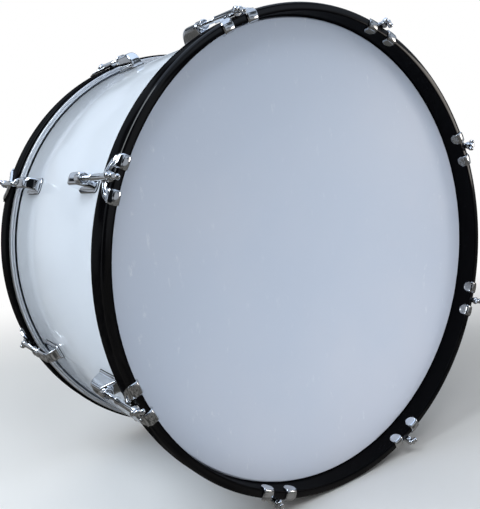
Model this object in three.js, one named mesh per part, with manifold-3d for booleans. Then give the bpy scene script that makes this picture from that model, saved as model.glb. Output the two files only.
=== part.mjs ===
import * as THREE from 'three';
import { mergeVertices } from 'three/addons/utils/BufferGeometryUtils.js';
import Module from 'manifold-3d';

// Marching bass drum. Lengths are in millimetres.
// The drum's axis runs along Y with the front head facing -Y, and the drum stands on its two
// hoops at Z = 0. "Depth" is the distance inwards from the outer rim of a hoop along the axis,
// and "radius" is the distance from the drum's axis. The rings have flat facets, and a stated
// radius of a ring is the distance to the middle of its facets.

const wasm = await Module();
wasm.setup();

const ringSides = 64;
const facetSpread = 1 / Math.cos(Math.PI / ringSides);
const seatGap = 0.3;
const overrun = 1;

// Shell
const shellRadius = 330.2;
const shellWall = 7;
const shellDepth = 355.6;
const edgeBevelInside = 4.5;
const edgeBevelOutside = 1.5;

// Heads, which lie over the shell's edges and are turned out under the hoops
const hoopReach = 31;
const filmGauge = 0.5;
const collarGauge = 0.8;
const collarGap = 0.5;
const flangeInset = 4.5;

// Counter hoops
const hoopWall = 12.2;
const hoopDepth = 35;
const rimRound = 2.5;
const rimInnerBevel = 1;
const hoopBackRound = 4;

// Flesh hoops, the metal rings that the films are held by
const fleshGap = 2.8;
const fleshWall = 7;
const fleshDepth = 6.8;

// Claws
const setCount = 8;
const clawGauge = 2.4;
const armGauge = 2;
const lipGauge = 2;
const prongWidth = 18;
const prongSpacing = 42;
const prongTail = 4;
const lipLength = 13;
const prongBend = 2.2;
const armReach = 23;
const archDepth = 10.5;
const armBendShares = [0.47, 0.76];
const tubeRadius = 4.3;
const tubeLength = 47;
const tubeBore = 3.6;

// Tension rods with their handles
const rodStandoff = 5;
const rodRadius = 3;
const rodEngagement = 32;
const washerRadius = 6.2;
const washerGauge = 2.8;
const hubRadius = 4.2;
const hubLength = 8.4;
const hubRound = 1.4;
const handleReach = 8.5;
const handleEndRadius = 3.9;
const handleEndGauge = 4.4;
const handleNeckRadius = 2.5;
const handleTurns = [26, 12, 38, 74, 22, 52, 123, 78].map(THREE.MathUtils.degToRad);

// Lugs
const lugStart = 74;
const lugLength = 52;
const lugWidth = 17;
const lugCrown = 4.1;
const lugSlope = 12;
const lugTopShare = 0.46;
const bossRadius = 7.4;
const bossLength = 16;
const bossOverhang = 0.6;
const boreRunout = 5.4;
const plateWidth = 25;
const plateLength = 57;
const plateGauge = 1.6;
const plateCorner = 4;

// Air vent, on the side away from the playing hand
const ventBore = 3.5;
const ventTubeRadius = 6;
const ventFlangeRadius = 9.5;
const ventFlangeGauge = 1.6;

const fullLength = shellDepth + 2 * hoopReach;
const edgeDepth = hoopReach;
const filmDepth = edgeDepth - seatGap - filmGauge;
const collarInnerRadius = shellRadius + seatGap;
const collarOuterRadius = collarInnerRadius + collarGauge;
const hoopInnerRadius = collarOuterRadius + collarGap;
const hoopRadius = hoopInnerRadius + hoopWall;
const flangeDepth = hoopDepth + seatGap;
const fleshStart = flangeDepth + filmGauge + seatGap;
const fleshInnerRadius = shellRadius + fleshGap;
const axisRadius = hoopRadius + rodStandoff;
const rodLength = lugStart + rodEngagement;

const finishes = {
  whiteWrap: new THREE.MeshStandardMaterial({ color: 0xe9edf0, roughness: 0.12, metalness: 0 }),
  film: new THREE.MeshStandardMaterial({ color: 0xb9bfcb, roughness: 0.45, metalness: 0 }),
  blackGloss: new THREE.MeshStandardMaterial({ color: 0x0b0b0d, roughness: 0.14, metalness: 0 }),
  aluminium: new THREE.MeshStandardMaterial({ color: 0xd4d7d9, roughness: 0.3, metalness: 1 }),
  chrome: new THREE.MeshStandardMaterial({ color: 0xdfe3e6, roughness: 0.08, metalness: 1 }),
};

function toSolid(geometry) {
  const bare = new THREE.BufferGeometry();
  bare.setAttribute('position', geometry.attributes.position);
  bare.setIndex(geometry.index);
  const merged = mergeVertices(bare);
  return new wasm.Manifold(new wasm.Mesh({
    numProp: 3,
    vertProperties: new Float32Array(merged.attributes.position.array),
    triVerts: new Uint32Array(merged.index.array),
  }));
}

function toGeometry(solid) {
  const cut = solid.getMesh();
  const geometry = new THREE.BufferGeometry();
  geometry.setAttribute('position', new THREE.BufferAttribute(cut.vertProperties, 3));
  geometry.setIndex(new THREE.BufferAttribute(cut.triVerts, 1));
  geometry.computeVertexNormals();
  return geometry;
}

function joined(geometries) {
  return geometries.map(toSolid).reduce((whole, piece) => whole.add(piece));
}

// A profile of [radius, depth] points turned about the Y axis.
function turned(profile, sides, start = 0) {
  const points = profile.map(([radius, depth]) => new THREE.Vector2(radius, depth));
  return new THREE.LatheGeometry(points, sides, start);
}

function facetedRing(profile) {
  const corners = profile.map(([radius, depth]) => [radius * facetSpread, depth]);
  return turned(corners, ringSides, Math.PI / ringSides);
}

// A round bar along Y between two depths, at a height above the drum's axis.
function roundBar(radius, start, end, height, sides) {
  const bar = turned([[0, start], [radius, start], [radius, end], [0, end]], sides);
  return bar.translate(0, 0, height);
}

// An outline of depth and radius given a width along the hoop.
function acrossWidth(outline, width, curveSegments) {
  const block = new THREE.ExtrudeGeometry(outline, { depth: width, bevelEnabled: false, curveSegments });
  const alongY = new THREE.Vector3(0, 1, 0);
  const alongZ = new THREE.Vector3(0, 0, 1);
  const alongX = new THREE.Vector3(1, 0, 0);
  block.applyMatrix4(new THREE.Matrix4().makeBasis(alongY, alongZ, alongX));
  return block.translate(-width / 2, 0, 0);
}

// An outline seen from outside the drum, given a thickness outwards from a radius.
function flatPlate(outline, innerRadius, gauge, curveSegments) {
  const plate = new THREE.ExtrudeGeometry(outline, { depth: gauge, bevelEnabled: false, curveSegments });
  return plate.translate(0, 0, innerRadius);
}

function quarterRound(centreRadius, centreDepth, round, startAngle, steps) {
  const points = [];
  for (let i = 0; i <= steps; i += 1) {
    const angle = startAngle + (Math.PI / 2) * (i / steps);
    points.push([centreRadius + round * Math.cos(angle), centreDepth + round * Math.sin(angle)]);
  }
  return points;
}

function shell() {
  const inner = shellRadius - shellWall;
  const ringGeometry = facetedRing([
    [inner, edgeBevelInside],
    [inner + edgeBevelInside, 0],
    [shellRadius - edgeBevelOutside, 0],
    [shellRadius, edgeBevelOutside],
    [shellRadius, shellDepth - edgeBevelOutside],
    [shellRadius - edgeBevelOutside, shellDepth],
    [inner + edgeBevelInside, shellDepth],
    [inner, shellDepth - edgeBevelInside],
    [inner, edgeBevelInside],
  ]).translate(0, -shellDepth / 2, 0);
  const ventHole = roundBar(ventTubeRadius + seatGap, inner - overrun, shellRadius + overrun, 0, 12);
  ventHole.rotateZ(-Math.PI / 2);
  return toGeometry(toSolid(ringGeometry).subtract(toSolid(ventHole)));
}

function hoop() {
  const rim = quarterRound(hoopRadius - rimRound, rimRound, rimRound, -Math.PI / 2, 2);
  const backDepth = hoopDepth - hoopBackRound;
  const back = quarterRound(hoopRadius - hoopBackRound, backDepth, hoopBackRound, 0, 2);
  return facetedRing([
    [hoopInnerRadius, rimInnerBevel],
    [hoopInnerRadius + rimInnerBevel, 0],
    ...rim,
    ...back,
    [hoopInnerRadius, hoopDepth],
    [hoopInnerRadius, rimInnerBevel],
  ]);
}

function fleshHoop() {
  const end = fleshStart + fleshDepth;
  return facetedRing([
    [fleshInnerRadius, fleshStart],
    [fleshInnerRadius + fleshWall, fleshStart],
    [fleshInnerRadius + fleshWall, end],
    [fleshInnerRadius, end],
    [fleshInnerRadius, fleshStart],
  ]);
}

function head() {
  const flangeRadius = hoopRadius - flangeInset;
  return facetedRing([
    [0, filmDepth],
    [collarOuterRadius, filmDepth],
    [collarOuterRadius, flangeDepth],
    [flangeRadius, flangeDepth],
    [flangeRadius, flangeDepth + filmGauge],
    [collarInnerRadius, flangeDepth + filmGauge],
    [collarInnerRadius, filmDepth + filmGauge],
    [0, filmDepth + filmGauge],
  ]);
}

function ventGrommet() {
  const outside = shellRadius + seatGap;
  const inside = shellRadius - shellWall - seatGap;
  const profile = [
    [ventBore, inside - ventFlangeGauge],
    [ventFlangeRadius, inside - ventFlangeGauge],
    [ventFlangeRadius, inside],
    [ventTubeRadius, inside],
    [ventTubeRadius, outside],
    [ventFlangeRadius, outside],
    [ventFlangeRadius, outside + ventFlangeGauge],
    [ventBore, outside + ventFlangeGauge],
    [ventBore, inside - ventFlangeGauge],
  ];
  return turned(profile, 12).rotateZ(-Math.PI / 2);
}

const clawSeatRadius = hoopRadius * facetSpread + seatGap;
const lipRadius = Math.sqrt((hoopInnerRadius - seatGap) ** 2 - (prongWidth / 2) ** 2);
const prongAngle = Math.atan2(prongSpacing / 2, hoopRadius);

// The prong's side view: over the hoop's outer wall, round its rim and onto its inner wall.
function hookOutline() {
  const top = clawSeatRadius + clawGauge;
  const front = -seatGap - clawGauge;
  const bottom = lipRadius - clawGauge;
  const outline = new THREE.Shape();
  outline.moveTo(prongTail, clawSeatRadius);
  outline.lineTo(prongTail, top);
  outline.lineTo(front + prongBend, top);
  outline.quadraticCurveTo(front, top, front, top - prongBend);
  outline.lineTo(front, bottom + prongBend);
  outline.quadraticCurveTo(front, bottom, front + prongBend, bottom);
  outline.lineTo(-seatGap, bottom);
  outline.lineTo(-seatGap, clawSeatRadius);
  outline.closePath();
  return outline;
}

// The tongue on the hoop's inner wall, with a round end.
function lipOutline() {
  const half = prongWidth / 2;
  const outline = new THREE.Shape();
  outline.moveTo(-half, -seatGap - clawGauge / 2);
  outline.lineTo(half, -seatGap - clawGauge / 2);
  outline.absarc(0, lipLength - half, half, 0, Math.PI);
  outline.closePath();
  return outline;
}

// One side of the arch that runs back from a prong to the rod's tube, on the right of the rod.
function armOutline() {
  const halfSpan = (prongSpacing + prongWidth) / 2;
  const middle = -prongSpacing / 2 - overrun;
  const outer = prongWidth / 2;
  const outline = new THREE.Shape();
  outline.moveTo(outer, 0);
  const bendWidth = outer - halfSpan * armBendShares[0];
  outline.quadraticCurveTo(bendWidth, armReach * armBendShares[1], middle, armReach);
  outline.lineTo(middle, archDepth);
  outline.quadraticCurveTo(-outer, archDepth, -outer, 0);
  outline.closePath();
  return outline;
}

// The same piece seen left to right, with its faces turned so that they still point out.
function mirroredWidth(geometry) {
  const position = geometry.scale(-1, 1, 1).attributes.position;
  const mirrored = new THREE.BufferGeometry();
  const order = [];
  for (let i = 0; i < position.count; i += 3) {
    order.push(i + 1, i, i + 2);
  }
  mirrored.setAttribute('position', position);
  mirrored.setIndex(order);
  return mirrored;
}

function clawSide(side) {
  const armSeat = clawSeatRadius + (clawGauge - armGauge) / 2;
  const pieces = [
    acrossWidth(hookOutline(), prongWidth, 2),
    flatPlate(lipOutline(), lipRadius - lipGauge, lipGauge, 4),
    flatPlate(armOutline(), armSeat, armGauge, 3),
  ];
  const placed = pieces.map((piece) => {
    const sided = side < 0 ? mirroredWidth(piece) : piece;
    return sided.rotateY(side * prongAngle);
  });
  return joined(placed);
}


function claw() {
  const tube = toSolid(roundBar(tubeRadius, 0, tubeLength, axisRadius, 8));
  const bore = toSolid(roundBar(tubeBore, -overrun, tubeLength + overrun, axisRadius, 8));
  return toGeometry(clawSide(1).add(clawSide(-1)).add(tube).subtract(bore));
}

// A rod with its washer and hub, about its own axis, and the short bar that the fingers turn.
function tensionRod() {
  const washerFront = -seatGap - washerGauge;
  const hubFront = washerFront - hubLength;
  const stem = turned([
    [0, hubFront],
    [hubRadius - hubRound, hubFront],
    [hubRadius, hubFront + hubRound],
    [hubRadius, washerFront],
    [washerRadius, washerFront],
    [washerRadius, -seatGap],
    [rodRadius, -seatGap],
    [rodRadius, rodLength],
    [0, rodLength],
  ], 8);
  const endStart = handleReach - handleEndGauge;
  const handle = turned([
    [0, -handleReach],
    [handleEndRadius - hubRound, -handleReach],
    [handleEndRadius, -handleReach + hubRound],
    [handleNeckRadius, -endStart],
    [handleNeckRadius, endStart],
    [handleEndRadius, handleReach - hubRound],
    [handleEndRadius - hubRound, handleReach],
    [0, handleReach],
  ], 6);
  handle.rotateZ(-Math.PI / 2).translate(0, washerFront - hubLength / 2, 0);
  return toGeometry(joined([stem, handle]));
}

function lugSideOutline() {
  const base = shellRadius + seatGap + plateGauge / 2;
  const top = axisRadius + lugCrown;
  const end = lugStart + lugLength;
  const crest = lugStart + lugSlope;
  const backStart = crest + lugLength * lugTopShare;
  const outline = new THREE.Shape();
  outline.moveTo(lugStart, base);
  outline.lineTo(crest, top);
  outline.lineTo(backStart, top);
  outline.quadraticCurveTo(end, top, end, base);
  outline.closePath();
  return outline;
}

function lugPlateOutline() {
  const half = plateWidth / 2;
  const start = lugStart + (lugLength - plateLength) / 2;
  const end = start + plateLength;
  const outline = new THREE.Shape();
  outline.moveTo(-half + plateCorner, start);
  outline.lineTo(half - plateCorner, start);
  outline.lineTo(half, start + plateCorner);
  outline.lineTo(half, end - plateCorner);
  outline.lineTo(half - plateCorner, end);
  outline.lineTo(-half + plateCorner, end);
  outline.lineTo(-half, end - plateCorner);
  outline.lineTo(-half, start + plateCorner);
  outline.closePath();
  return outline;
}

function lug() {
  const bossStart = lugStart - bossOverhang;
  const plate = flatPlate(lugPlateOutline(), shellRadius + seatGap, plateGauge, 1);
  const body = acrossWidth(lugSideOutline(), lugWidth, 4);
  const boss = roundBar(bossRadius, bossStart, bossStart + bossLength, axisRadius, 12);
  const bore = roundBar(tubeBore, bossStart - overrun, rodLength + boreRunout, axisRadius, 8);
  return toGeometry(joined([plate, body, boss]).subtract(toSolid(bore)));
}

function named(name, geometry, finish) {
  const mesh = new THREE.Mesh(geometry, finish);
  mesh.name = name;
  return mesh;
}

// One end of the drum: its head and rings, and the claws, rods and lugs round it.
// The side is 1 at the front and -1 at the rear, where the same end is turned half round.
function drumEnd(label, side, shared) {
  const end = new THREE.Group();
  end.add(named(`${label}_hoop`, shared.hoop, finishes.blackGloss));
  end.add(named(`${label}_flesh_hoop`, shared.fleshHoop, finishes.aluminium));
  end.add(named(`${label}_head`, shared.head, finishes.film));
  for (let i = 0; i < setCount; i += 1) {
    const set = new THREE.Group();
    set.rotation.y = side * (i - 0.5) * (2 * Math.PI / setCount);
    const rod = named(`${label}_tension_rod_${i + 1}`, shared.tensionRod, finishes.chrome);
    rod.position.z = axisRadius;
    rod.rotation.y = handleTurns[i % handleTurns.length];
    set.add(rod);
    set.add(named(`${label}_claw_${i + 1}`, shared.claw, finishes.chrome));
    set.add(named(`${label}_lug_${i + 1}`, shared.lug, finishes.chrome));
    end.add(set);
  }
  end.rotation.z = side > 0 ? 0 : Math.PI;
  end.position.y = -side * fullLength / 2;
  return end;
}

const shared = {
  hoop: hoop(),
  fleshHoop: fleshHoop(),
  head: head(),
  claw: claw(),
  tensionRod: tensionRod(),
  lug: lug(),
};

const drum = new THREE.Group();
drum.add(named('shell', shell(), finishes.whiteWrap));
drum.add(named('vent_grommet', ventGrommet(), finishes.chrome));
drum.add(drumEnd('front', 1, shared));
drum.add(drumEnd('rear', -1, shared));
drum.position.z = hoopRadius;

export default drum;
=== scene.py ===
import math

import bpy
import numpy as np
from mathutils import Matrix, Vector


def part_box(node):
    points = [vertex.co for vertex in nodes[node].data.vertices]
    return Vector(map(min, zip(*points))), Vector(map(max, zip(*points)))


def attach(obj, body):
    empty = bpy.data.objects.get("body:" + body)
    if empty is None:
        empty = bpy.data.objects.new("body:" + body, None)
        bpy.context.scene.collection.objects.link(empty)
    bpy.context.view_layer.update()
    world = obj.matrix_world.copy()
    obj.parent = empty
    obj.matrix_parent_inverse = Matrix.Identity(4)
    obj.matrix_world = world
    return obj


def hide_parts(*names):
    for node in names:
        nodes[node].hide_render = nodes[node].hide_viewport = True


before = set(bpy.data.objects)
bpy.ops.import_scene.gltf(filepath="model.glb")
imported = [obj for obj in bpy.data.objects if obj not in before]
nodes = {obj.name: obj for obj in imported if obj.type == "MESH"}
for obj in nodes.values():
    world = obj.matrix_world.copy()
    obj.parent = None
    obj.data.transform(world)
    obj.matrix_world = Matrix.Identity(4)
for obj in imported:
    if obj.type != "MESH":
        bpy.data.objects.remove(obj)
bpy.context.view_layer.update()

print("marching bass drum: frame loaded,", len(nodes), "nodes")

mm = 0.001
setCount = 8             # claws, rods and lugs at each end
ends = {"front": 1, "rear": -1}

# the drum's driving sizes in millimetres, taken from the frame's boxes
hoopLow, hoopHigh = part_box("front_hoop")
shellLow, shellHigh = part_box("shell")
fleshLow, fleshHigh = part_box("front_flesh_hoop")
drum = {
    "axisHeight": (hoopLow.z + hoopHigh.z) / 2 / mm,
    "rimDepth": -hoopLow.y / mm,                       # half the length over the hoops
    "hoopRadius": (hoopHigh.x - hoopLow.x) / 2 / mm,
    "hoopDepth": (hoopHigh.y - hoopLow.y) / mm,
    "shellRadius": (shellHigh.x - shellLow.x) / 2 / mm,
    "shellDepth": (shellHigh.y - shellLow.y) / mm,
    "fleshRadius": (fleshHigh.x - fleshLow.x) / 2 / mm,
    "fleshStart": (fleshLow.y - hoopLow.y) / mm,
    "fleshDepth": (fleshHigh.y - fleshLow.y) / mm,
    "rodRadius": 349.0,                                # where the tension rods' axes lie
    "hoopWall": 12.2,                                  # how thick the hoops are
}
drum["edgeDepth"] = drum["rimDepth"] - drum["shellDepth"] / 2
drum["hoopOuter"] = drum["hoopRadius"] + 0.1           # with the thickness of the lacquer
drum["hoopInner"] = drum["hoopOuter"] - drum["hoopWall"]


# Mesh helpers. A part is (points, faces): points is an array of x, y, z in millimetres, and faces a list
# of index tuples.

def gridPart(points, closeAlong=False, capStart=False, capEnd=False):
    # points is rows along a path by columns round a section, and quads join each row to the next
    rows, columns = points.shape[:2]
    index = np.arange(rows * columns).reshape(rows, columns)
    nextRow = np.roll(index, -1, axis=0) if closeAlong else index[1:]
    thisRow = index if closeAlong else index[:-1]
    quads = np.stack([thisRow, np.roll(thisRow, -1, 1), np.roll(nextRow, -1, 1), nextRow], -1)
    faces = [tuple(q) for q in quads.reshape(-1, 4).tolist()]
    if capStart:
        faces.append(tuple(index[0][::-1].tolist()))
    if capEnd:
        faces.append(tuple(index[-1].tolist()))
    return points.reshape(-1, 3), faces


def joinParts(parts):
    points, faces, offset = [], [], 0
    for partPoints, partFaces in parts:
        points.append(partPoints)
        faces += [tuple(i + offset for i in face) for face in partFaces]
        offset += len(partPoints)
    return np.concatenate(points), faces


def outward(part):
    # turns the faces over if the signed volume, a sixth of the sum of a . (b x c), is negative
    points, faces = part
    centred = points - points.mean(0)
    fans = np.array([(f[0], f[i], f[i + 1]) for f in faces for i in range(1, len(f) - 1)])
    a, b, c = centred[fans[:, 0]], centred[fans[:, 1]], centred[fans[:, 2]]
    if np.einsum("ij,ij->", a, np.cross(b, c)) < 0:
        faces = [face[::-1] for face in faces]
    return points, faces


def addPiece(name, part, material, body, replaced=(), sharpAngle=35, rawCastAndReflection=None):
    points, faces = part
    mesh = bpy.data.meshes.new(name)
    mesh.from_pydata((points * mm).tolist(), [], faces)
    mesh.polygons.foreach_set("use_smooth", [True] * len(faces))
    mesh.set_sharp_from_angle(angle=math.radians(sharpAngle))
    if rawCastAndReflection is not None:
        mesh.attributes.new("rawCastAndReflection", "FLOAT", "POINT").data.foreach_set("value", rawCastAndReflection)
    mesh.materials.append(material)
    piece = bpy.data.objects.new(name, mesh)
    bpy.context.scene.collection.objects.link(piece)
    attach(piece, body)
    if replaced:
        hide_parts(*replaced)


def revolve(profile, count, closed=True):
    # x = radius sin a, y = depth, z = radius cos a, for every profile point (radius, depth) and angle a.
    # An open profile starts and ends next to the axis, where a small disc closes it.
    profile = np.asarray(profile, float)
    angle = np.linspace(0, 2 * math.pi, count, endpoint=False)[None, :]
    radius, depth = profile[:, 0][:, None], profile[:, 1][:, None]
    grid = np.stack([radius * np.sin(angle), depth + 0 * angle, radius * np.cos(angle)], -1)
    return outward(gridPart(grid, closeAlong=closed, capStart=not closed, capEnd=not closed))


def roundedLoop(corners, steps):
    # a closed outline whose corners (radius, depth, round) are arcs of that round
    corners = [(np.array(c[:2], float), c[2]) for c in corners]
    loop = []
    for i, (here, bend) in enumerate(corners):
        before = corners[i - 1][0] - here
        after = corners[(i + 1) % len(corners)][0] - here
        if bend <= 0:
            loop.append(here)
            continue
        before, after = before / np.linalg.norm(before), after / np.linalg.norm(after)
        half = math.acos(np.clip(before @ after, -1, 1)) / 2
        reach = bend / math.tan(half)
        middle = (before + after) / np.linalg.norm(before + after)
        centre = here + middle * bend / math.sin(half)
        first, last = here + before * reach - centre, here + after * reach - centre
        turn = math.acos(np.clip(first @ last / bend ** 2, -1, 1))
        for share in np.linspace(0, 1, steps):
            arc = first * math.sin((1 - share) * turn) + last * math.sin(share * turn)
            loop.append(centre + arc / math.sin(turn))
    return np.array(loop)


def toEnd(points, angle, side):
    # from (across, depth from the rim, radius) to the drum's place: turned by angle about the axis, and
    # half round about the upright for the rear
    u, depth, radius = points[:, 0], points[:, 1], points[:, 2]
    turned = side * angle
    x = u * math.cos(turned) + radius * math.sin(turned)
    z = -u * math.sin(turned) + radius * math.cos(turned)
    y = -drum["rimDepth"] + depth
    return np.stack([x * side, y * side, z + drum["axisHeight"]], -1)


def endPart(part, side):
    # a ring made with y = depth put at the front, or turned half round to the rear
    return toEnd(part[0], 0.0, side), part[1]


def setPart(part, number, side):
    # a claw, rod or lug put at its place round the drum, half a step to each side of the top
    angle = (number - 1.5) * 2 * math.pi / setCount
    return toEnd(part[0], angle, side), part[1]


# Shader helper: arithmetic on sockets adds the Math nodes

class Val:
    def __init__(self, tree, socket):
        self.tree, self.socket = tree, socket

    def math(self, operation, *others):
        node = self.tree.nodes.new("ShaderNodeMath")
        node.operation = operation
        for slotIn, value in zip(node.inputs, (self,) + others):
            plug(self.tree, value, slotIn)
        return Val(self.tree, node.outputs[0])

    def __add__(self, other): return self.math("ADD", other)
    def __radd__(self, other): return self.math("ADD", other)
    def __sub__(self, other): return self.math("SUBTRACT", other)
    def __rsub__(self, other): return self.math("MULTIPLY", -1.0).math("ADD", other)
    def __mul__(self, other): return self.math("MULTIPLY", other)
    def __rmul__(self, other): return self.math("MULTIPLY", other)
    def __pow__(self, other): return self.math("POWER", other)

    def smooth(self, low, high):
        # 0 below low and 1 above high, with a smooth step between
        node = self.tree.nodes.new("ShaderNodeMapRange")
        node.interpolation_type = "SMOOTHSTEP"
        self.tree.links.new(self.socket, node.inputs["Value"])
        node.inputs["From Min"].default_value = low
        node.inputs["From Max"].default_value = high
        return Val(self.tree, node.outputs["Result"])


def plug(tree, value, slotIn):
    # puts a Val, another node's socket or a plain number or colour into a socket
    if isinstance(value, Val):
        value = value.socket
    if isinstance(value, bpy.types.NodeSocket):
        tree.links.new(value, slotIn)
    else:
        slotIn.default_value = value


class Paint:
    # one material with its Principled shader, and short ways to add nodes
    def __init__(self, name, **constants):
        self.material = bpy.data.materials.new(name)
        self.material.use_nodes = True
        self.tree = self.material.node_tree
        self.shader = self.tree.nodes["Principled BSDF"]
        for key, value in constants.items():
            self.shader.inputs[key.replace("_", " ")].default_value = value

    def node(self, kind, settings=None, **inputs):
        node = self.tree.nodes.new("ShaderNode" + kind)
        for key, value in (settings or {}).items():
            setattr(node, key, value)
        for key, value in inputs.items():
            plug(self.tree, value, node.inputs[key.replace("_", " ")])
        return node

    def place(self, scale=(1, 1, 1)):
        where = self.node("TexCoord").outputs["Object"]
        return self.node("Mapping", Vector=where, Scale=scale).outputs["Vector"]

    def axes(self):
        # x, y and z of the Object coordinates
        where = self.node("SeparateXYZ", Vector=self.node("TexCoord").outputs["Object"])
        return [Val(self.tree, where.outputs[axis]) for axis in "XYZ"]

    def noise(self, scale, detail, rough=0.5, vector=None):
        vector = vector or self.place()
        made = self.node("TexNoise", Vector=vector, Scale=scale, Detail=detail, Roughness=rough)
        return Val(self.tree, made.outputs["Fac"])

    def mix(self, share, first, second):
        node = self.node("Mix", {"data_type": "RGBA"})
        plug(self.tree, share, node.inputs[0])
        for number, value in ((6, first), (7, second)):            # the two colours' sockets
            plug(self.tree, (*value, 1.0) if isinstance(value, tuple) else value, node.inputs[number])
        return node.outputs[2]

    def feed(self, socketName, value):
        plug(self.tree, value, self.shader.inputs[socketName])

    def bump(self, height, strength, distance):
        made = self.node("Bump", Height=height, Strength=strength, Distance=distance)
        self.feed("Normal", made.outputs["Normal"])


def fromAxis(paint):
    # the distance from the drum's axis, sqrt(x^2 + z^2), and the place y along it
    x, y, z = paint.axes()
    z = z - drum["axisHeight"] * mm
    return (x * x + z * z) ** 0.5, y


def makeWrap():
    look = {"white": (0.64, 0.70, 0.785), "shade": (0.62, 0.68, 0.765), "speckSize": 900.0}
    paint = Paint("whiteWrap", Coat_Weight=0.15, Coat_Roughness=0.03, IOR=1.45, Specular_IOR_Level=0.25)
    cloud = paint.noise(3.0, 3.0)
    fine = paint.noise(look["speckSize"], 2.0)
    paint.feed("Base Color", paint.mix(cloud.smooth(0.35, 0.7), look["white"], look["shade"]))
    scuffs = paint.noise(60.0, 6.0, 0.7, paint.place((1, 6, 1))).smooth(0.62, 0.8)
    paint.feed("Roughness", 0.10 + scuffs * 0.12 + fine * 0.04)
    paint.bump(paint.noise(14.0, 2.0) + fine * 0.02, 0.05, 0.001)
    return paint.material


def makeFilm():
    look = {"milk": (0.432, 0.497, 0.615), "pale": (0.50, 0.54, 0.635), "scuff": (0.66, 0.70, 0.76),
            "wornFrom": 0.16, "wornTo": 0.31}              # radii in metres: hands mark the rim most
    paint = Paint("drumFilm", IOR=1.45, Specular_IOR_Level=0.4)
    cloud = paint.noise(2.2, 4.0, 0.55)
    radius = fromAxis(paint)[0]
    worn = 0.35 + radius.smooth(look["wornFrom"], look["wornTo"]) * 0.65
    marks = paint.noise(85.0, 6.0, 0.72, paint.place((1, 1, 0.4))).smooth(0.60, 0.72) * worn
    base = paint.mix(cloud.smooth(0.3, 0.75), look["milk"], look["pale"])
    paint.feed("Base Color", paint.mix(marks * 0.5, base, look["scuff"]))
    paint.feed("Roughness", 0.36 + cloud * 0.08 + marks * 0.2)
    paint.bump(paint.noise(1400.0, 2.0) + cloud * 2.0, 0.04, 0.0004)
    return paint.material


def makeLacquer():
    look = {"black": (0.0015, 0.0015, 0.002), "worn": (0.005, 0.005, 0.006),
            "wallCoat": 0.09, "rimCoat": 0.60}             # the rim's face shines most
    paint = Paint("blackLacquer", Specular_IOR_Level=0.0, Coat_Roughness=0.09)
    radius, y = fromAxis(paint)
    outside = radius.smooth((drum["hoopRadius"] - 11) * mm, (drum["hoopRadius"] - 8) * mm)
    rim = 1 - (drum["rimDepth"] * mm - y.math("ABSOLUTE")).smooth(0.002, 0.006)
    wear = paint.noise(90.0, 5.0, 0.65).smooth(0.58, 0.85)
    coat = look["wallCoat"] + outside * rim * (look["rimCoat"] - look["wallCoat"])
    paint.feed("Coat Weight", coat * (1 - wear * 0.4))
    turned = paint.node("CombineXYZ", X=radius, Y=y, Z=0.0).outputs["Vector"]
    lines = paint.noise(330.0, 3.0, 0.6, turned)
    paint.feed("Base Color", paint.mix(wear, look["black"], look["worn"]))
    paint.feed("Roughness", 0.3 + wear * 0.15 + lines * 0.06)
    paint.bump(paint.noise(22.0, 2.0) + lines * 0.12, 0.08, 0.0008)
    return paint.material


def makeAluminium():
    look = {"bright": (0.90, 0.91, 0.93), "dull": (0.74, 0.75, 0.77)}
    paint = Paint("aluminiumRing", Metallic=1.0)
    radius, y = fromAxis(paint)
    turned = paint.node("CombineXYZ", X=radius * 6.0, Y=y * 6.0, Z=0.0).outputs["Vector"]
    lines = paint.noise(900.0, 3.0, 0.6, turned)
    spots = paint.noise(120.0, 4.0).smooth(0.5, 0.8)
    paint.feed("Base Color", paint.mix(lines * 0.5 + spots * 0.3, look["bright"], look["dull"]))
    paint.feed("Roughness", 0.32 + lines * 0.14 + spots * 0.08)
    paint.bump(lines, 0.12, 0.0003)
    return paint.material


def makeChrome(name, tarnishAndReflection):
    look = {"bright": (0.80, 0.825, 0.865), "brown": (0.16, 0.145, 0.115), "pit": (0.12, 0.11, 0.10)}
    paint = Paint(name, Metallic=1.0)
    cast = Val(paint.tree, paint.node("Attribute", {"attribute_name": "rawCastAndReflection"}).outputs["Fac"])
    worn = tarnishAndReflection + cast * (0.85 - tarnishAndReflection)           # unpolished faces are the dullest; partly tarnish, partly painted reflection of the dark ground
    haze = paint.noise(55.0, 4.0, 0.6).smooth(0.42, 0.78)
    pits = paint.noise(1500.0, 3.0, 0.7).smooth(0.66, 0.78)
    # the brown and mottle on the raw faces are partly tarnish and partly a painted reflection of the
    # dark ground
    mottle = paint.noise(430.0, 3.0, 0.65).smooth(0.42, 0.60) * cast
    toned = paint.mix(haze * worn, look["bright"], look["brown"])
    toned = paint.mix(mottle * 0.3 + cast * 0.7, toned, look["brown"])
    paint.feed("Base Color", paint.mix(pits * worn, toned, look["pit"]))
    paint.feed("Roughness", 0.05 + haze * 0.12 * worn + pits * 0.3 * worn + cast * 0.2)
    waves = paint.noise(150.0, 2.0) + paint.noise(330.0, 2.0) * cast * 3.0
    paint.bump(waves - pits * 0.3 * worn + mottle * 0.3, 0.10, 0.0006)
    return paint.material


def makeRubber():
    look = {"dark": (0.010, 0.010, 0.011), "dust": (0.035, 0.035, 0.034)}
    paint = Paint("gasketRubber", IOR=1.5)
    dust = paint.noise(400.0, 4.0).smooth(0.45, 0.8)
    paint.feed("Base Color", paint.mix(dust, look["dark"], look["dust"]))
    paint.feed("Roughness", 0.55 + dust * 0.25)
    paint.bump(paint.noise(2500.0, 2.0), 0.15, 0.0002)
    return paint.material


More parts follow.
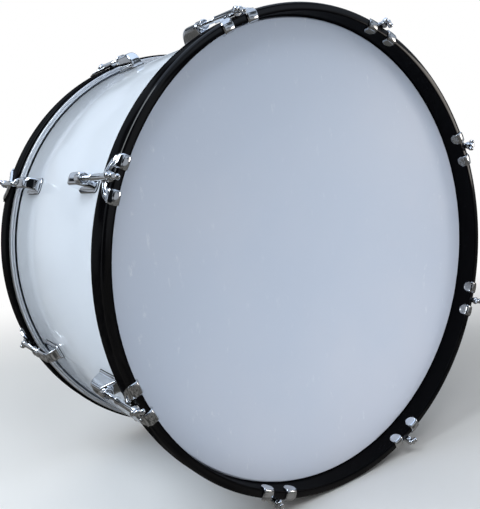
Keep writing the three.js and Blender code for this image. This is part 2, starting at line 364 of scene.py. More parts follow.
def makePly():
    look = {"birch": (0.60, 0.43, 0.26), "dark": (0.42, 0.27, 0.15), "nearBlack": (0.006, 0.006, 0.006)}
    paint = Paint("shellPly", IOR=1.45)
    radius = fromAxis(paint)[0]
    outside = radius.smooth((drum["shellRadius"] - 1.2) * mm, (drum["shellRadius"] - 0.8) * mm)
    grain = paint.noise(26.0, 6.0, 0.6, paint.place((1, 0.12, 1)))
    fibre = paint.noise(420.0, 4.0, 0.6, paint.place((1, 0.05, 1)))
    wood = paint.mix((grain * 0.7 + fibre * 0.4).smooth(0.35, 0.75), look["birch"], look["dark"])
    # the ply's outside shows only in the narrow gap under each flesh hoop, and is made near black
    paint.feed("Base Color", paint.mix(outside, wood, look["nearBlack"]))
    paint.feed("Roughness", 0.5 + fibre * 0.2)
    paint.bump(fibre, 0.2, 0.0003)
    return paint.material


paints = {
    "wrap": makeWrap(),
    "film": makeFilm(),
    "lacquer": makeLacquer(),
    "aluminium": makeAluminium(),
    "chrome": makeChrome("brightChrome", 0.25),
    "wornChrome": makeChrome("wornChrome", 0.8),
    "rubber": makeRubber(),
    "ply": makePly(),
}
print("materials:", len(paints))


# Rings: shell, hoops, heads and flesh hoops

def makeShell():
    # the seam's angle and the width of the lap's rise are in degrees
    size = {"wall": 7.0, "wrap": 0.5, "bevelIn": 4.5, "bevelOut": 1.4, "trim": 0.3, "glue": 0.1,
            "lap": 0.35, "seamAngle": 100.0, "lapWidth": 6.0, "sides": 512}
    outer = drum["shellRadius"]
    inner = outer - size["wall"]
    near, far = drum["edgeDepth"], drum["edgeDepth"] + drum["shellDepth"]
    skin = outer - size["wrap"]
    wood = skin - size["glue"]
    bevelIn, bevelOut = size["bevelIn"], size["bevelOut"]
    setBack = drum["fleshStart"] + drum["fleshDepth"] + size["trim"] - near
    ply = roundedLoop([
        (inner, near + bevelIn, 1.0), (inner + bevelIn, near, 0.6),
        (wood - bevelOut, near, 0.6), (wood, near + bevelOut, 0.4),
        (wood, far - bevelOut, 0.4), (wood - bevelOut, far, 0.6),
        (inner + bevelIn, far, 0.6), (inner, far - bevelIn, 1.0)], 4)
    addPiece("shell_ply", endPart(revolve(ply, size["sides"] // 2), 1), paints["ply"], "drum",
             ["shell"])
    wrap = roundedLoop([(skin, near + setBack, 0.1), (outer, near + setBack, 0.15),
                        (outer, far - setBack, 0.15), (skin, far - setBack, 0.1)], 3)
    points, faces = revolve(wrap, size["sides"])
    # the sheet's lap: the outside rises towards the seam and falls off sharply past it
    angle = np.degrees(np.arctan2(points[:, 0], points[:, 2])) - size["seamAngle"]
    width = size["lapWidth"]
    lift = np.where((angle > -width) & (angle <= 0), (angle + width) / width, 0) * size["lap"]
    radius = np.hypot(points[:, 0], points[:, 2])
    lift = np.where(radius > skin + 0.2, lift, 0) / radius
    points[:, 0] *= 1 + lift
    points[:, 2] *= 1 + lift
    addPiece("shell_wrap", endPart((points, faces), 1), paints["wrap"], "drum", ["shell"])


def makeHoop(label, side):
    size = {"rimRound": 3.9, "rimInner": 1.6, "backRound": 4.4, "backInner": 1.0, "sides": 512}
    inner, outer, depth = drum["hoopInner"], drum["hoopOuter"], drum["hoopDepth"]
    loop = roundedLoop([(inner, 0.0, size["rimInner"]), (outer, 0.0, size["rimRound"]),
                        (outer, depth, size["backRound"]), (inner, depth, size["backInner"])], 7)
    addPiece(f"{label}_hoop_lacquered", endPart(revolve(loop, size["sides"]), side), paints["lacquer"],
             "drum", [f"{label}_hoop"], 50)


def makeFleshHoop(label, side):
    size = {"gap": 2.8, "channel": 1.6, "channelDepth": 2.2, "round": 0.9, "sides": 384}
    outer, inner = drum["fleshRadius"], drum["shellRadius"] + size["gap"]
    start, end = drum["fleshStart"], drum["fleshStart"] + drum["fleshDepth"]
    bottom = end - size["channelDepth"]
    near = (outer + inner) / 2 - size["channel"] / 2
    far = (outer + inner) / 2 + size["channel"] / 2
    loop = roundedLoop([
        (inner, start, size["round"]), (outer, start, size["round"]), (outer, end, size["round"]),
        (far, end, 0.5), (far, bottom, 0.4), (near, bottom, 0.4), (near, end, 0.5),
        (inner, end, size["round"])], 4)
    addPiece(f"{label}_flesh_ring", endPart(revolve(loop, size["sides"]), side), paints["aluminium"],
             "drum", [f"{label}_flesh_hoop"])


def makeHead(label, side):
    # a flat film, a bend over the shell's edge, a collar and a flange turned out behind the hoop
    size = {"gauge": 0.45, "edgeRound": 2.4, "edgeGap": 0.3, "gap": 0.35, "inset": 4.5, "trim": 0.2,
            "rings": 40, "sides": 384}
    edge = drum["edgeDepth"] - size["edgeGap"]
    collar = drum["shellRadius"] + size["gap"]
    flange = drum["hoopDepth"] + size["gap"]
    reach = drum["hoopRadius"] - size["inset"]
    gauge, bend, trim = size["gauge"], size["edgeRound"], size["trim"]
    tight = bend - gauge
    flatReach = collar - tight
    quarter = np.linspace(0, math.pi / 2, 7)
    outerBend = np.stack([flatReach + bend * np.sin(quarter),
                          edge - gauge + bend - bend * np.cos(quarter)], -1)
    innerBend = np.stack([flatReach + tight * np.sin(quarter),
                          edge + tight - tight * np.cos(quarter)], -1)
    flat = np.linspace(0.02, 1, size["rings"])[:, None]
    face = np.concatenate([flat * flatReach, 0 * flat + edge - gauge], 1)
    back = np.concatenate([flat * flatReach, 0 * flat + edge], 1)
    turnOut = np.array([[collar + gauge, flange - 0.3], [collar + gauge + 0.3, flange],
                        [reach, flange], [reach, flange + gauge],
                        [collar + trim, flange + gauge], [collar, flange + gauge - trim]])
    loop = np.concatenate([face, outerBend[1:], turnOut, innerBend[::-1], back[::-1][1:]])
    part = endPart(revolve(loop, size["sides"], closed=False), side)
    addPiece(f"{label}_head_film", part, paints["film"], "drum", [f"{label}_head"], 50)


def makeVent():
    # a tube through the shell with a flange at both ends, turned so that its axis is x
    size = {"bore": 3.6, "tube": 6.0, "flange": 9.5, "gauge": 1.5, "lip": 1.4}
    low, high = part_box("vent_grommet")
    outside = high.x / mm - size["gauge"]
    inside = low.x / mm + size["gauge"]
    bore, tube, flange, lip = size["bore"], size["tube"], size["flange"], size["lip"]
    loop = roundedLoop([
        (bore, inside - lip, 0.6), (flange, inside - lip, 0.5), (flange, inside, 0.3),
        (tube, inside, 0), (tube, outside, 0), (flange, outside, 0.4), (flange, outside + lip / 2, 0.5),
        (bore + 1.6, outside + lip, 0.8), (bore, outside + 0.6, 0.8)], 4)
    points, faces = revolve(loop, 64)
    turned = np.stack([points[:, 1], points[:, 0], points[:, 2] + drum["axisHeight"]], -1)
    addPiece("vent_grommet_flared", outward((turned, faces)), paints["chrome"], "drum",
             ["vent_grommet"])


makeShell()
for label, side in ends.items():
    makeHoop(label, side)
    makeFleshHoop(label, side)
    makeHead(label, side)
makeVent()
print("shell, hoops, heads and vent made")


# Claws, rods and lugs. Each is made in its set's own frame: across the set, depth from the rim, and
# radius from the drum's axis.

def step(value, low, high):
    # 0 below low and 1 above high, with 3 s^2 - 2 s^3 between
    share = np.clip((value - low) / (high - low), 0, 1)
    return share * share * (3 - 2 * share)


def wrapRound(across, depth, radius):
    # a length across the set becomes an angle round the drum: across = r sin(a), radius = r cos(a)
    angle = across / drum["hoopRadius"]
    return np.stack([radius * np.sin(angle), depth + 0 * angle, radius * np.cos(angle)], -1)


def aboutRod(part, turn=0.0):
    # from (across, depth, outwards) about the rod's own axis: turned about it and moved out to its place
    points, faces = part
    across = points[:, 0] * math.cos(turn) + points[:, 2] * math.sin(turn)
    out = points[:, 2] * math.cos(turn) - points[:, 0] * math.sin(turn)
    return np.stack([across, points[:, 1], out + drum["rodRadius"]], -1), faces


claw = {
    "gap": 0.4, "innerGap": 0.5, "halfWidth": 9.0, "spacing": 42.0,
    "armStart": (28.4, 0.8), "armPull": (15.9, 17.5), "armEnd": (-1.0, 23.0),   # across and depth
    "tarnishAndReflection": [0.8, 1.3, 1.0, 0.7, 0.1, 0.3, 0.7, 0.3],   # raw faces' dullness for each claw: partly tarnish, partly painted dark reflection
}


def prongPart(side):
    # a strap over the hoop's rim: point = path + normal * height, and across = middle + half width * v,
    # with the height raised along the strap's edge and rounded off at it. The outer bend A and the inner
    # bend B are hollowed by h exp(-(distance / w)^2), with (h, w) in "hollowA" and "hollowB".
    size = {"gauge": 2.4, "bendA": 4.4, "bendB": 1.8, "hollowA": (0.9, 3.4), "hollowB": (0.75, 2.0),
            "crown": 0.9, "tail": 6.0, "tongue": 13.0, "edgeDrop": 0.9, "edgeRound": 1.3,
            "rimHeight": 0.6, "rimWidth": 1.9, "shoulder": 0.7}
    outerWall = drum["hoopOuter"] + claw["gap"]
    innerWall = drum["hoopInner"] - claw["innerGap"]
    bendA, bendB, half = size["bendA"], size["bendB"], claw["halfWidth"]
    frontA, frontB = bendA - claw["gap"], bendB - claw["gap"]
    tipDepth = size["tongue"] - half
    turnA, turnB = np.radians(np.linspace(90, 178, 12)), np.radians(np.linspace(182, 270, 8))
    tip = np.radians(np.linspace(0, 87, 12))
    straightDepth = np.linspace(frontB, tipDepth, 5)[1:-1]
    flat = np.linspace(outerWall - bendA, innerWall + bendB, 7)[1:-1]
    depth = np.concatenate([np.linspace(size["tail"], frontA, 4)[:-1], frontA + bendA * np.cos(turnA),
                            0 * flat - claw["gap"], frontB + bendB * np.cos(turnB), straightDepth,
                            tipDepth + half * np.sin(tip)])
    radius = np.concatenate([np.full(3, outerWall), outerWall - bendA + bendA * np.sin(turnA), flat,
                             innerWall + bendB + bendB * np.sin(turnB),
                             np.full(3 + len(tip), innerWall)])
    angle = np.concatenate([np.full(3, math.pi / 2), turnA, 0 * flat + math.pi, turnB,
                            np.full(3 + len(tip), 1.5 * math.pi)])
    path = np.concatenate([[0.0], np.cumsum(np.hypot(np.diff(depth), np.diff(radius)))])
    centreA = path[3 + len(turnA) // 2]
    centreB = path[3 + len(turnA) + len(flat) + len(turnB) // 2]
    hollow = sum(size[key][0] * np.exp(-((path - centre) / size[key][1]) ** 2)
                 for key, centre in (("hollowA", centreA), ("hollowB", centreB)))
    body = len(depth) - len(tip)
    near = claw["spacing"] / 2 - half
    # the strap starts as wide as the arm, and narrows to its own width round the outer bend
    curve = curveThrough(claw["armStart"], claw["armPull"], claw["armEnd"], np.linspace(0, 1, 60))
    far = np.full(body, near + 2 * half)
    far[:3] = np.interp(depth[:3], curve[:, 1], curve[:, 0]) + 0.2
    far[3:3 + len(turnA)] = far[2] + (near + 2 * half - far[2]) * np.sin(turnA - math.pi / 2)
    width = np.concatenate([(far - near) / 2, half * np.cos(tip)])
    middle = np.concatenate([(far + near) / 2, np.full(len(tip), near + half)])
    past = np.concatenate([np.zeros(body), half * np.sin(tip)])
    whole = np.concatenate([width[:body], np.full(len(tip), half)])
    v = np.sin(np.linspace(-math.pi / 2, math.pi / 2, 23))
    edge = whole[:, None] - np.hypot(width[:, None] * v, past[:, None])
    onTongue = step(angle, 3.6, 4.6)[:, None]
    onFront = np.sin(np.clip(angle - math.pi / 2, 0, math.pi))[:, None]
    top = size["gauge"] - size["edgeDrop"] * (1 - step(edge, 0, size["edgeRound"]))
    top = top + size["crown"] * onFront * (1 - v * v)
    rim = step(edge, 0.1, 0.1 + size["shoulder"])
    rim = rim - step(edge, size["rimWidth"], size["rimWidth"] + size["shoulder"])
    top = top + size["rimHeight"] * rim * onTongue - hollow[:, None]
    height = np.concatenate([top, np.zeros((len(depth), 5))], 1)
    places = np.tile(np.concatenate([v, np.linspace(1, -1, 5)]), (len(depth), 1))
    across = side * (middle[:, None] + places * width[:, None])
    grid = wrapRound(across, depth[:, None] + height * np.cos(angle)[:, None],
                     radius[:, None] + height * np.sin(angle)[:, None])
    return outward(gridPart(grid, capStart=True, capEnd=True))


def curveThrough(first, control, last, share):
    # quadratic curve: (1 - t)^2 first + 2 t (1 - t) control + t^2 last
    share = share[:, None]
    first, control, last = np.array(first), np.array(control), np.array(last)
    return (1 - share) ** 2 * first + 2 * share * (1 - share) * control + share ** 2 * last


def armPart(side):
    # between an inner and an outer curve: place = inner + b (outer - inner), with a low plate along the
    # inner curve, a groove and then a rib along the outer one, and a fillet up to the tube
    size = {"archDepth": 10.5, "archPull": 12.0, "plate": 1.9, "rib": 2.0, "ribStart": 0.45,
            "ribFull": 0.56, "groove": 1.1, "grooveWidth": 0.026, "innerRound": 0.7, "outerRound": 1.3,
            "start": 1.3, "fillet": 3.2, "filletReach": 9.5}
    half, middle = claw["halfWidth"], claw["spacing"] / 2
    t = np.linspace(0, 1, 34)
    outer = curveThrough(claw["armStart"], claw["armPull"], claw["armEnd"], t)
    inner = curveThrough((middle - half, claw["armStart"][1]), (size["archPull"], size["archDepth"]),
                         (claw["armEnd"][0], size["archDepth"]), t)
    b = np.concatenate([np.linspace(0, 0.36, 6), np.linspace(0.38, 0.54, 12),
                        np.linspace(0.57, 0.92, 8), np.linspace(0.94, 1, 5)])
    shares = np.concatenate([b, np.linspace(1, 0, 6)])       # over the top, and back along the underside
    place = inner[:, None, :] + shares[None, :, None] * (outer - inner)[:, None, :]
    across, depth = place[..., 0], place[..., 1]
    rounding = size["innerRound"] * (1 - step(b, 0, 0.07)) + size["outerRound"] * step(b, 0.92, 1.0) ** 2
    groove = size["groove"] * np.exp(-((b - size["ribStart"]) / size["grooveWidth"]) ** 2)
    rib = size["rib"] * step(b, size["ribStart"], size["ribFull"])
    profile = size["plate"] + rib - groove - rounding
    fillet = size["fillet"] * np.clip(1 - np.abs(across[:, :len(b)]) / size["filletReach"], 0, 1) ** 2
    height = size["start"] + step(t, 0, 0.2)[:, None] * (profile[None, :] - size["start"]) + fillet
    height = np.concatenate([height, np.zeros((len(t), len(shares) - len(b)))], 1)
    bent = wrapRound(side * across, depth, drum["hoopOuter"] + claw["gap"] + height)
    return outward(gridPart(bent, capStart=True, capEnd=True))


def tubePart():
    # the tube that the rod runs through, with a collar at its front and a bead at its back
    size = {"bore": 3.45, "radius": 4.3, "length": 47.0, "collar": 0.9, "bead": 0.35}
    bore, wall, length = size["bore"], size["radius"], size["length"]
    collar, bead = wall + size["collar"], wall + size["bead"]
    loop = roundedLoop([(bore, 0, 0.2), (collar, 0, 0.5), (collar, 2.6, 0.6), (wall, 3.4, 0.4),
                        (wall, length - 1.8, 0.3), (bead, length - 1.4, 0.3),
                        (bead, length, 0.4), (bore, length, 0.3)], 4)
    return aboutRod(revolve(loop, 40))


rod = {
    "radius": 3.0, "pitch": 1.058, "threadDepth": 0.55, "threadStart": 38.0, "length": 106.0,
    "washerFront": -1.75, "collarFront": -3.1, "hubFront": -11.5, "handleDepth": -7.3,
    "turns": [26, 12, 38, 74, 22, 52, 123, 78],        # where each handle came to rest, in degrees
}


def threadPart():
    # radius = root + height * |1 - 2 fraction(depth / pitch - a / 2 pi)|, a helix of one start
    size = {"rowsPerTurn": 7, "sides": 20, "runIn": 2.0, "runOut": 1.5}
    start, end = rod["threadStart"], rod["length"]
    rows = int((end - start) / rod["pitch"] * size["rowsPerTurn"])
    depth = np.linspace(start, end, rows)[:, None]
    angle = np.linspace(0, 2 * math.pi, size["sides"], endpoint=False)[None, :]
    phase = depth / rod["pitch"] - angle / (2 * math.pi)
    tooth = np.abs(1 - 2 * (phase - np.floor(phase)))
    fade = step(depth, start, start + size["runIn"]) * step(end - depth, 0, size["runOut"])
    radius = rod["radius"] - rod["threadDepth"] * (1 - tooth * fade)
    grid = np.stack([radius * np.sin(angle), depth + 0 * angle, radius * np.cos(angle)], -1)
    return outward(gridPart(grid, capStart=True, capEnd=True))


def flatRing(inner, outer, front, back, rounds):
    # a washer of revolution, whose outer corners are rounded
    loop = [(inner, front, 0), (outer, front, rounds[0]), (outer, back, rounds[1]), (inner, back, 0)]
    return revolve(roundedLoop(loop, 4), 48)


def hubPart():
    size = {"radius": 4.2, "round": 2.2, "centre": 0.3}
    bend = np.linspace(0, math.pi / 2, 8)
    dome = np.stack([size["radius"] + size["round"] * (np.sin(bend) - 1),
                     rod["hubFront"] + size["round"] * (1 - np.cos(bend))], -1)
    waist = [[size["radius"], -8.6], [3.6, -6.0], [3.5, -4.4], [4.2, -3.4], [4.4, -3.0]]
    front, back = [size["centre"], rod["hubFront"]], [size["centre"], -3.0]
    return revolve(np.concatenate([[front], dome, waist, [back]]), 32, closed=False)


def handlePart():
    # a bar of revolution on its own axis, turned across the rod: radius = neck + (knob - neck) * a
    # smooth step, rounded off at both ends
    size = {"reach": 8.5, "neck": 2.4, "knob": 3.9, "knobFull": 2.6, "knobLength": 5.8,
            "round": 2.0, "fall": 1.6}
    along = size["reach"] * np.sin(np.linspace(-1, 1, 61) * math.pi / 2)
    near = size["reach"] - np.abs(along)
    onKnob = 1 - step(near, size["knobFull"], size["knobLength"])
    knob = size["neck"] + (size["knob"] - size["neck"]) * onKnob
    end = np.clip(1 - near / size["round"], 0, 1)
    radius = knob - size["fall"] * (1 - np.sqrt(np.clip(1 - end ** 2, 0.004, 1)))
    radius = np.maximum(radius - 1.5 * (near < 0.002), 0.3)
    points, faces = revolve(np.stack([radius, along], -1), 32, closed=False)
    placed = np.stack([points[:, 1], points[:, 0] + rod["handleDepth"], points[:, 2]], -1)
    return outward((placed, faces))


def rodPart(turn):
    shankEnd = rod["threadStart"] + 1.5
    shank = revolve([(0.3, -1.0), (2.9, -1.0), (2.9, shankEnd), (0.3, shankEnd)], 24, closed=False)
    washer = flatRing(2.0, 6.2, rod["washerFront"], -0.3, (0.35, 0.35))
    collar = flatRing(2.0, 5.2, rod["collarFront"], rod["washerFront"] - 0.05, (0.6, 0.3))
    parts = [shank, threadPart(), washer, collar, hubPart(), handlePart()]
    return aboutRod(joinParts(parts), math.radians(turn))


lug = {
    "start": 74.0, "length": 52.0, "plateGauge": 1.7, "gasketGauge": 0.85, "gasketProud": 0.7,
    "screwDepths": [86.0, 114.0],
}


def casingPart():
    # sections along the depth: an arch as wide as the casing and as high as its side view there, whose
    # corners are quarter circles and whose foot spreads
    size = {"lift": 0.8, "width": 17.0, "slope": 12.0, "topShare": 0.46, "crown": 4.1,
            "crestRound": 1.1, "crestDrop": 1.02, "corner": 3.2, "foot": 1.6, "footRise": 1.1,
            "dome": 1.1, "domeShare": 0.94}
    base = drum["shellRadius"] + size["lift"]
    top = drum["rodRadius"] + size["crown"]
    start, end = lug["start"], lug["start"] + lug["length"]
    crest = start + size["slope"]
    back = crest + lug["length"] * size["topShare"]
    front = np.linspace(0, 1, 14)
    slope = np.stack([start + front * size["slope"], base + front * (top - base)], -1)
    past = np.linspace(-1, 1, 7)
    soften = np.stack([crest + size["crestRound"] * past,
                       top - size["crestDrop"] * ((1 - past) / 2) ** 2], -1)
    flat = np.stack([np.linspace(crest + size["crestRound"] + 0.3, back, 8), np.full(8, top)], -1)
    curve = curveThrough((back, top), (end, top), (end, base), np.linspace(0, 1, 30)[1:])
    side = np.concatenate([slope[slope[:, 0] < crest - size["crestRound"] - 0.1], soften, flat, curve])
    tall = np.maximum(side[:, 1] - base, 0.05)[:, None]
    corner = np.minimum(size["corner"], tall * 0.5)
    half = size["width"] / 2
    turn = np.linspace(0, math.pi / 2, 7)[None, :]
    up = np.linspace(0, 1, 9)[None, :-1] ** 1.5 * (tall - corner)
    wallAcross = half + size["foot"] * np.exp(-up / size["footRise"])
    arcAcross = half - corner + corner * np.cos(turn)
    arcUp = tall - corner + corner * np.sin(turn)
    right = np.concatenate([wallAcross, arcAcross], 1)
    rightUp = np.concatenate([up, arcUp], 1)
    roof = np.linspace(1, -1, 9)[None, 1:-1] * (half - corner)
    across = np.concatenate([right, roof, -right[:, ::-1]], 1)
    height = np.concatenate([rightUp, tall + 0 * roof, rightUp[:, ::-1]], 1)
    dome = np.cos(across / half * math.pi / 2 * size["domeShare"])
    height = base + height + size["dome"] * (height / (top - base)) ** 4 * dome
    depth = side[:, :1] + 0 * across
    return outward(gridPart(np.stack([across, depth, height], -1), capStart=True, capEnd=True))


def bossPart():
    # the round mouth: a short tube with a raised collar round its front
    size = {"radius": 7.4, "length": 16.0, "mouth": 5.7, "mouthDepth": 2.6, "bore": 3.3, "proud": 0.6}
    radius, mouth, bore = size["radius"], size["mouth"], size["bore"]
    start = lug["start"] - size["proud"]
    floor, end = start + size["mouthDepth"], start + size["length"]
    loop = roundedLoop([(mouth, floor, 0.3), (mouth, start, 0.7), (radius - 0.2, start, 0.9),
                        (radius, start + 3.4, 0.5), (radius - 0.7, start + 4.1, 0.5),
                        (radius - 0.5, end, 0.2), (bore, end, 0.2), (bore, floor, 0.2)], 4)
    return aboutRod(revolve(loop, 56))


def nutPart():
    # the swivel nut's face: a ring with a turned shoulder and a bore that the rod screws into
    size = {"bore": 3.15, "radius": 5.2, "length": 4.0}
    bore, radius, start = size["bore"], size["radius"], lug["start"]
    end = start + size["length"]
    loop = roundedLoop([(bore, end, 0), (bore, start + 0.9, 0.35), (4.0, start + 0.4, 0.2),
                        (radius - 0.6, start + 0.4, 0.3), (radius, start + 1.1, 0.3),
                        (radius, end, 0)], 4)
    return aboutRod(revolve(loop, 40))


def basePart(proud, low, high, bevel):
    # a rounded rectangle bent round the shell, with a bevelled top edge
    size = {"width": 25.0, "length": 57.0, "corner": 8.0}
    halfWide, halfLong, corner = size["width"] / 2 + proud, size["length"] / 2 + proud, size["corner"]
    turn = np.linspace(0, math.pi / 2, 9)
    quarter = corner * (np.stack([np.cos(turn), np.sin(turn)], -1) - 1) + [halfWide, halfLong]
    outline = np.concatenate([quarter, quarter[::-1] * [-1, 1], -quarter, quarter[::-1] * [1, -1]])
    sized = 1 - bevel / np.array([halfWide, halfLong])
    rings = np.stack([outline, outline, outline * sized, outline * 0.5, outline * 0.05])
    radii = np.array([low, high - bevel, high, high, high])[:, None]
    middle = lug["start"] + lug["length"] / 2
    bent = wrapRound(rings[..., 0], middle + rings[..., 1], radii)
    return outward(gridPart(bent, capStart=True, capEnd=True))


def screwsPart():
    # washers and screw heads inside the shell. A head's radius is share * half / cos(angle to the
    # nearest flat), so that it is hexagonal, with a narrower top.
    size = {"wall": 7.0, "washer": 6.5, "bore": 2.6, "seat": -1.3, "flank": -4.4, "top": -5.0,
            "half": 4.6}
    bore, outer, seat = size["bore"], size["washer"], size["seat"]
    loop = roundedLoop([(bore, 0, 0.1), (outer, 0, 0.3), (outer, seat, 0.3), (bore, seat, 0.1)], 3)
    angle = np.linspace(0, 2 * math.pi, 36, endpoint=False)[None, :]
    hexagon = size["half"] / np.cos((angle + math.pi / 6) % (math.pi / 3) - math.pi / 6)
    rows = np.array([(0.05, seat), (1.0, seat), (1.0, size["flank"]), (0.93, size["top"]),
                     (0.05, size["top"])])
    radius, depth = rows[:, :1] * hexagon, rows[:, 1:]
    head = np.stack([radius * np.sin(angle), depth + 0 * angle, radius * np.cos(angle)], -1)
    points, faces = joinParts([revolve(loop, 32), outward(gridPart(head, capStart=True, capEnd=True))])
    across, out = points[:, 0], drum["shellRadius"] - size["wall"] + points[:, 1]
    placed = [(np.stack([across, place + points[:, 2], out], -1), faces) for place in lug["screwDepths"]]
    return joinParts([outward(part) for part in placed])


def rawAndReflectionShare(points):
    # how raw a claw is, which also places its painted reflection: the tongues, on the hoop's inside,
    # fully within their rims, and the prongs' fronts by the share "front"
    size = {"tongueAcross": 0.965, "tongueDepth": 4.0, "tongueRadius": 8.0, "front": 0.38,
            "frontDepth": 7.0}
    across, depth, radius = points[:, 0], points[:, 1], points[:, 2]
    away = np.hypot(np.abs(across) - claw["spacing"] / 2 * size["tongueAcross"],
                    depth - size["tongueDepth"])
    inside = (radius < drum["hoopInner"] + 0.6) * (depth > 0)
    onTongue = step(size["tongueRadius"] - away, 0, 0.9) * inside
    onFront = size["front"] * step(size["frontDepth"] - depth, 0, 5) * (radius < drum["rodRadius"] - 0.5)
    return np.maximum(onTongue, onFront)


clawForm = joinParts([prongPart(1), prongPart(-1), armPart(1), armPart(-1), tubePart()])
clawRawAndReflection = rawAndReflectionShare(clawForm[0])
bed = drum["shellRadius"] + lug["gasketGauge"]
plate = basePart(0.0, bed, bed + lug["plateGauge"], 0.45)
lugForm = joinParts([casingPart(), bossPart(), nutPart(), plate])
gasketForm = basePart(lug["gasketProud"], drum["shellRadius"] - 0.05, bed, 0.2)
screwsForm = screwsPart()
rodForms = [rodPart(turn) for turn in rod["turns"]]
for label, side in ends.items():
    for number in range(1, setCount + 1):
        name = f"{label}_claw_{number}"
        addPiece(f"{name}_cast", setPart(clawForm, number, side), paints["chrome"],
                 f"{name}_body", [name],
                 rawCastAndReflection=(clawRawAndReflection * claw["tarnishAndReflection"][number - 1]).tolist())
        name = f"{label}_tension_rod_{number}"
        addPiece(f"{name}_threaded", setPart(rodForms[number - 1], number, side), paints["chrome"],
                 f"{label}_rod_{number}_body", [name])
        name = f"{label}_lug_{number}"
        addPiece(f"{name}_casing", setPart(lugForm, number, side), paints["chrome"],
                 "drum", [name])
        addPiece(f"{name}_gasket", setPart(gasketForm, number, side), paints["rubber"], "drum")
        addPiece(f"{name}_screws", setPart(screwsForm, number, side), paints["wornChrome"],
                 "drum")
print("claws, rods and lugs made")


# Floor, light and camera

def studioObject(name, profile, sides, closed=True):
    # a surface of revolution about the upright, z
    points, faces = revolve(profile, sides, closed)
    points, faces = outward((np.stack([points[:, 0], points[:, 2], points[:, 1]], -1), faces))
    mesh = bpy.data.meshes.new(name)
    mesh.from_pydata((points * mm).tolist(), [], faces)
    made = bpy.data.objects.new(name, mesh)
    bpy.context.scene.collection.objects.link(made)
    return made


def seenRays(tree, light):
    # 1 where the camera looks, straight or by way of a mirror or glass
    camera, glossy, through = (Val(tree, light.outputs[f"Is {kind} Ray"])
                               for kind in ("Camera", "Glossy", "Transmission"))
    return camera + glossy + through


def surfaceFrom(tree, shader, output="Material Output"):
    tree.links.new(shader.outputs[0], tree.nodes[output].inputs["Surface"])


def makeFloor():
    # a pale disc that fades to white far from the drum
    size = {"radius": 4.0, "rings": 24, "gauge": 6, "fadeStart": 0.7, "fadeEnd": 1.7}
    look = {"pale": (0.84, 0.845, 0.85), "paler": (0.86, 0.865, 0.87), "bounced": (0.2, 0.21, 0.2)}
    reach = np.linspace(0.002, 1, size["rings"]) * size["radius"] / mm
    top = np.stack([reach, 0 * reach], -1)
    profile = np.concatenate([top, top[::-1] - [0, size["gauge"]]])
    floor = studioObject("studio_floor", profile, 96, closed=False)
    paint = Paint("paleFloor", Roughness=0.7)
    x, y = paint.axes()[:2]
    far = ((x * x + y * y) ** 0.5).smooth(size["fadeStart"], size["fadeEnd"])
    light = paint.node("LightPath")
    bounce = Val(paint.tree, light.outputs["Is Diffuse Ray"])     # less light comes back up at the drum
    tone = paint.mix(paint.noise(2.0, 3.0), look["pale"], look["paler"])
    paint.feed("Base Color", paint.mix(bounce * 0.1, tone, look["bounced"]))
    white = paint.node("Emission", Color=(1, 1, 1, 1), Strength=1.0)
    blend = paint.node("MixShader", Fac=far * seenRays(paint.tree, light))
    for number, shader in ((1, paint.shader), (2, white)):
        plug(paint.tree, shader.outputs[0], blend.inputs[number])
    surfaceFrom(paint.tree, blend)
    floor.data.materials.append(paint.material)
    return floor


def makeWalls():
    # a dark room with a round skylight that only reflections see, for gloss and chrome. Its walls are
    # dark on the side that "facing" points to, and have pale patches and openings elsewhere.
    size = {"radius": 2.5, "bottom": 0.004, "top": 2.7, "light": 2.25, "lightEdge": 0.05, "gauge": 20,
            "ceiling": (2.4, 2.6), "band": (1.0, 1.15), "skirt": (0.02, 0.3),
            "facing": (-0.77, -0.64), "facingFrom": (2.1, 2.25)}
    look = {"dark": (0.006, 0.007, 0.008), "mid": (0.36, 0.38, 0.41), "ground": (0.21, 0.205, 0.195),
            "gravel": (0.05, 0.05, 0.047), "gloom": (0.06, 0.07, 0.08), "upper": (0.50, 0.57, 0.67),
            "sky": (0.84, 1.0, 1.26)}
    low, high, out = size["bottom"] / mm, size["top"] / mm, size["radius"] / mm
    gauge = size["gauge"]
    walls = studioObject("studio_walls", [
        (1, low), (out, low), (out, high), (1, high), (1, high + gauge), (out + gauge, high + gauge),
        (out + gauge, low - 2), (1, low - 2)], 96)
    walls.visible_camera = walls.visible_diffuse = False
    walls.visible_shadow = walls.visible_transmission = False
    paint = Paint("darkWalls")
    x, y, height = paint.axes()
    edge = ((x * x + y * y) ** 0.5).smooth(size["light"] - size["lightEdge"], size["light"])
    skylight = height.smooth(*size["ceiling"]) * (1 - edge)
    patches = paint.noise(1.1, 2.0).smooth(0.48, 0.54)
    openings = paint.noise(0.8, 1.0).smooth(0.48, 0.54)
    facing = (x * size["facing"][0] + y * size["facing"][1]).smooth(*size["facingFrom"])
    below = paint.mix(patches * (1 - facing), look["dark"], look["mid"])
    above = paint.mix(openings, look["gloom"], look["upper"])
    band = paint.mix(height.smooth(*size["band"]) * (1 - facing), below, above)
    ground = paint.mix(paint.noise(7.0, 3.0).smooth(0.4, 0.6), look["ground"], look["gravel"])
    room = paint.mix(height.smooth(*size["skirt"]), ground, band)
    tone = paint.mix(skylight, room, look["sky"])
    surfaceFrom(paint.tree, paint.node("Emission", Color=tone, Strength=1.0))
    walls.data.materials.append(paint.material)


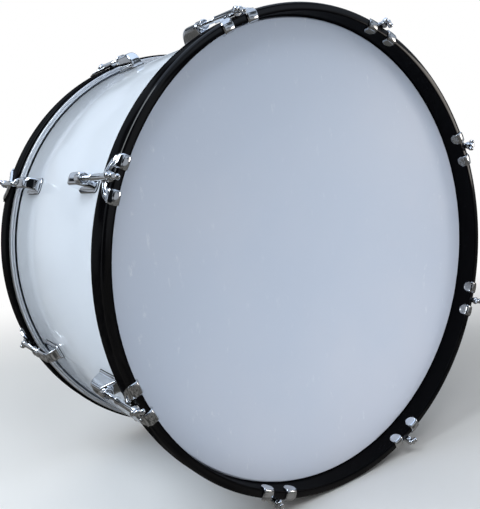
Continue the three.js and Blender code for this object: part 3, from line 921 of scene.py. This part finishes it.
def makeLamps(floor):
    # the low lamp stands close to the floor and leaves it out, so that no pool of light shows there
    bare = bpy.data.collections.new("low_lamp_leaves_out")
    bare.objects.link(floor)
    bare.collection_objects[0].light_linking.link_state = "EXCLUDE"
    rig = {      # place, width in metres, power in watts, colour, and whether gloss mirrors it
        "key": ((-1.7, -0.1, 2.2), 1.4, 39, (0.90, 0.96, 1.0), True),
        "top": ((-0.45, -1.2, 2.0), 0.8, 10, (0.96, 0.98, 1.0), False),
        "fill": ((1.62, -1.42, 0.6), 0.6, 5.5, (1.0, 0.93, 0.86), True),
        "side": ((-2.9, 0.5, 0.65), 2.2, 30, (1.0, 0.98, 0.95), False),
        "low": ((0.19, -0.95, 0.10), 0.3, 4.3, (1.0, 0.99, 0.97), False),
        "back": ((1.5, 2.3, 1.3), 1.8, 26, (1.0, 0.99, 0.98), False),
    }
    for name, (place, width, power, tone, shines) in rig.items():
        light = bpy.data.lights.new(name, "AREA")
        light.shape = "SQUARE"
        light.size = width
        light.energy = power
        light.color = tone
        holder = bpy.data.objects.new(name, light)
        holder.location = place
        aim = Vector((0, 0, drum["axisHeight"] * mm)) - Vector(place)
        holder.rotation_euler = aim.to_track_quat("-Z", "Y").to_euler()
        holder.visible_glossy = shines
        if name == "low":
            holder.light_linking.receiver_collection = bare
        bpy.context.scene.collection.objects.link(holder)


def makeWorld():
    # a weak sky lights the drum, and the camera sees plain white
    sky = {"level": 0.20, "tone": (0.88, 0.95, 1.0)}
    world = bpy.data.worlds.new("studio")
    bpy.context.scene.world = world
    world.use_nodes = True
    tree = world.node_tree
    lit, white = tree.nodes["Background"], tree.nodes.new("ShaderNodeBackground")
    for shader, tone, level in ((lit, sky["tone"], sky["level"]), (white, (1, 1, 1), 1.0)):
        shader.inputs["Color"].default_value = (*tone, 1)
        shader.inputs["Strength"].default_value = level
    blend = tree.nodes.new("ShaderNodeMixShader")
    seen = seenRays(tree, tree.nodes.new("ShaderNodeLightPath"))
    for number, value in enumerate((seen.math("MINIMUM", 1.0), lit.outputs[0], white.outputs[0])):
        plug(tree, value, blend.inputs[number])
    surfaceFrom(tree, blend, "World Output")


def makeCamera():
    view = {
        "place": (-0.60524, -0.86607, 0.48074), "lens": 47.595, "shiftX": -0.0360, "shiftY": -0.0492,
        "right": (0.80171, -0.59197, -0.08271), "up": (0.13104, 0.03907, 0.99061),
        "back": (-0.58318, -0.80501, 0.10890),
    }
    camera = bpy.data.cameras.new("photo_view")
    camera.sensor_fit = "HORIZONTAL"
    camera.sensor_width = 36.0
    camera.lens = view["lens"]
    camera.shift_x, camera.shift_y = view["shiftX"], view["shiftY"]
    camera.clip_start, camera.clip_end = 0.02, 60.0
    holder = bpy.data.objects.new("photo_view", camera)
    axes = Matrix((view["right"], view["up"], view["back"])).transposed().to_4x4()
    holder.matrix_world = Matrix.Translation(view["place"]) @ axes
    bpy.context.scene.collection.objects.link(holder)
    bpy.context.scene.camera = holder


floor = makeFloor()
makeWalls()
makeLamps(floor)
makeWorld()
makeCamera()
bpy.context.scene.view_settings.view_transform = "Standard"
print("floor, light and camera made")
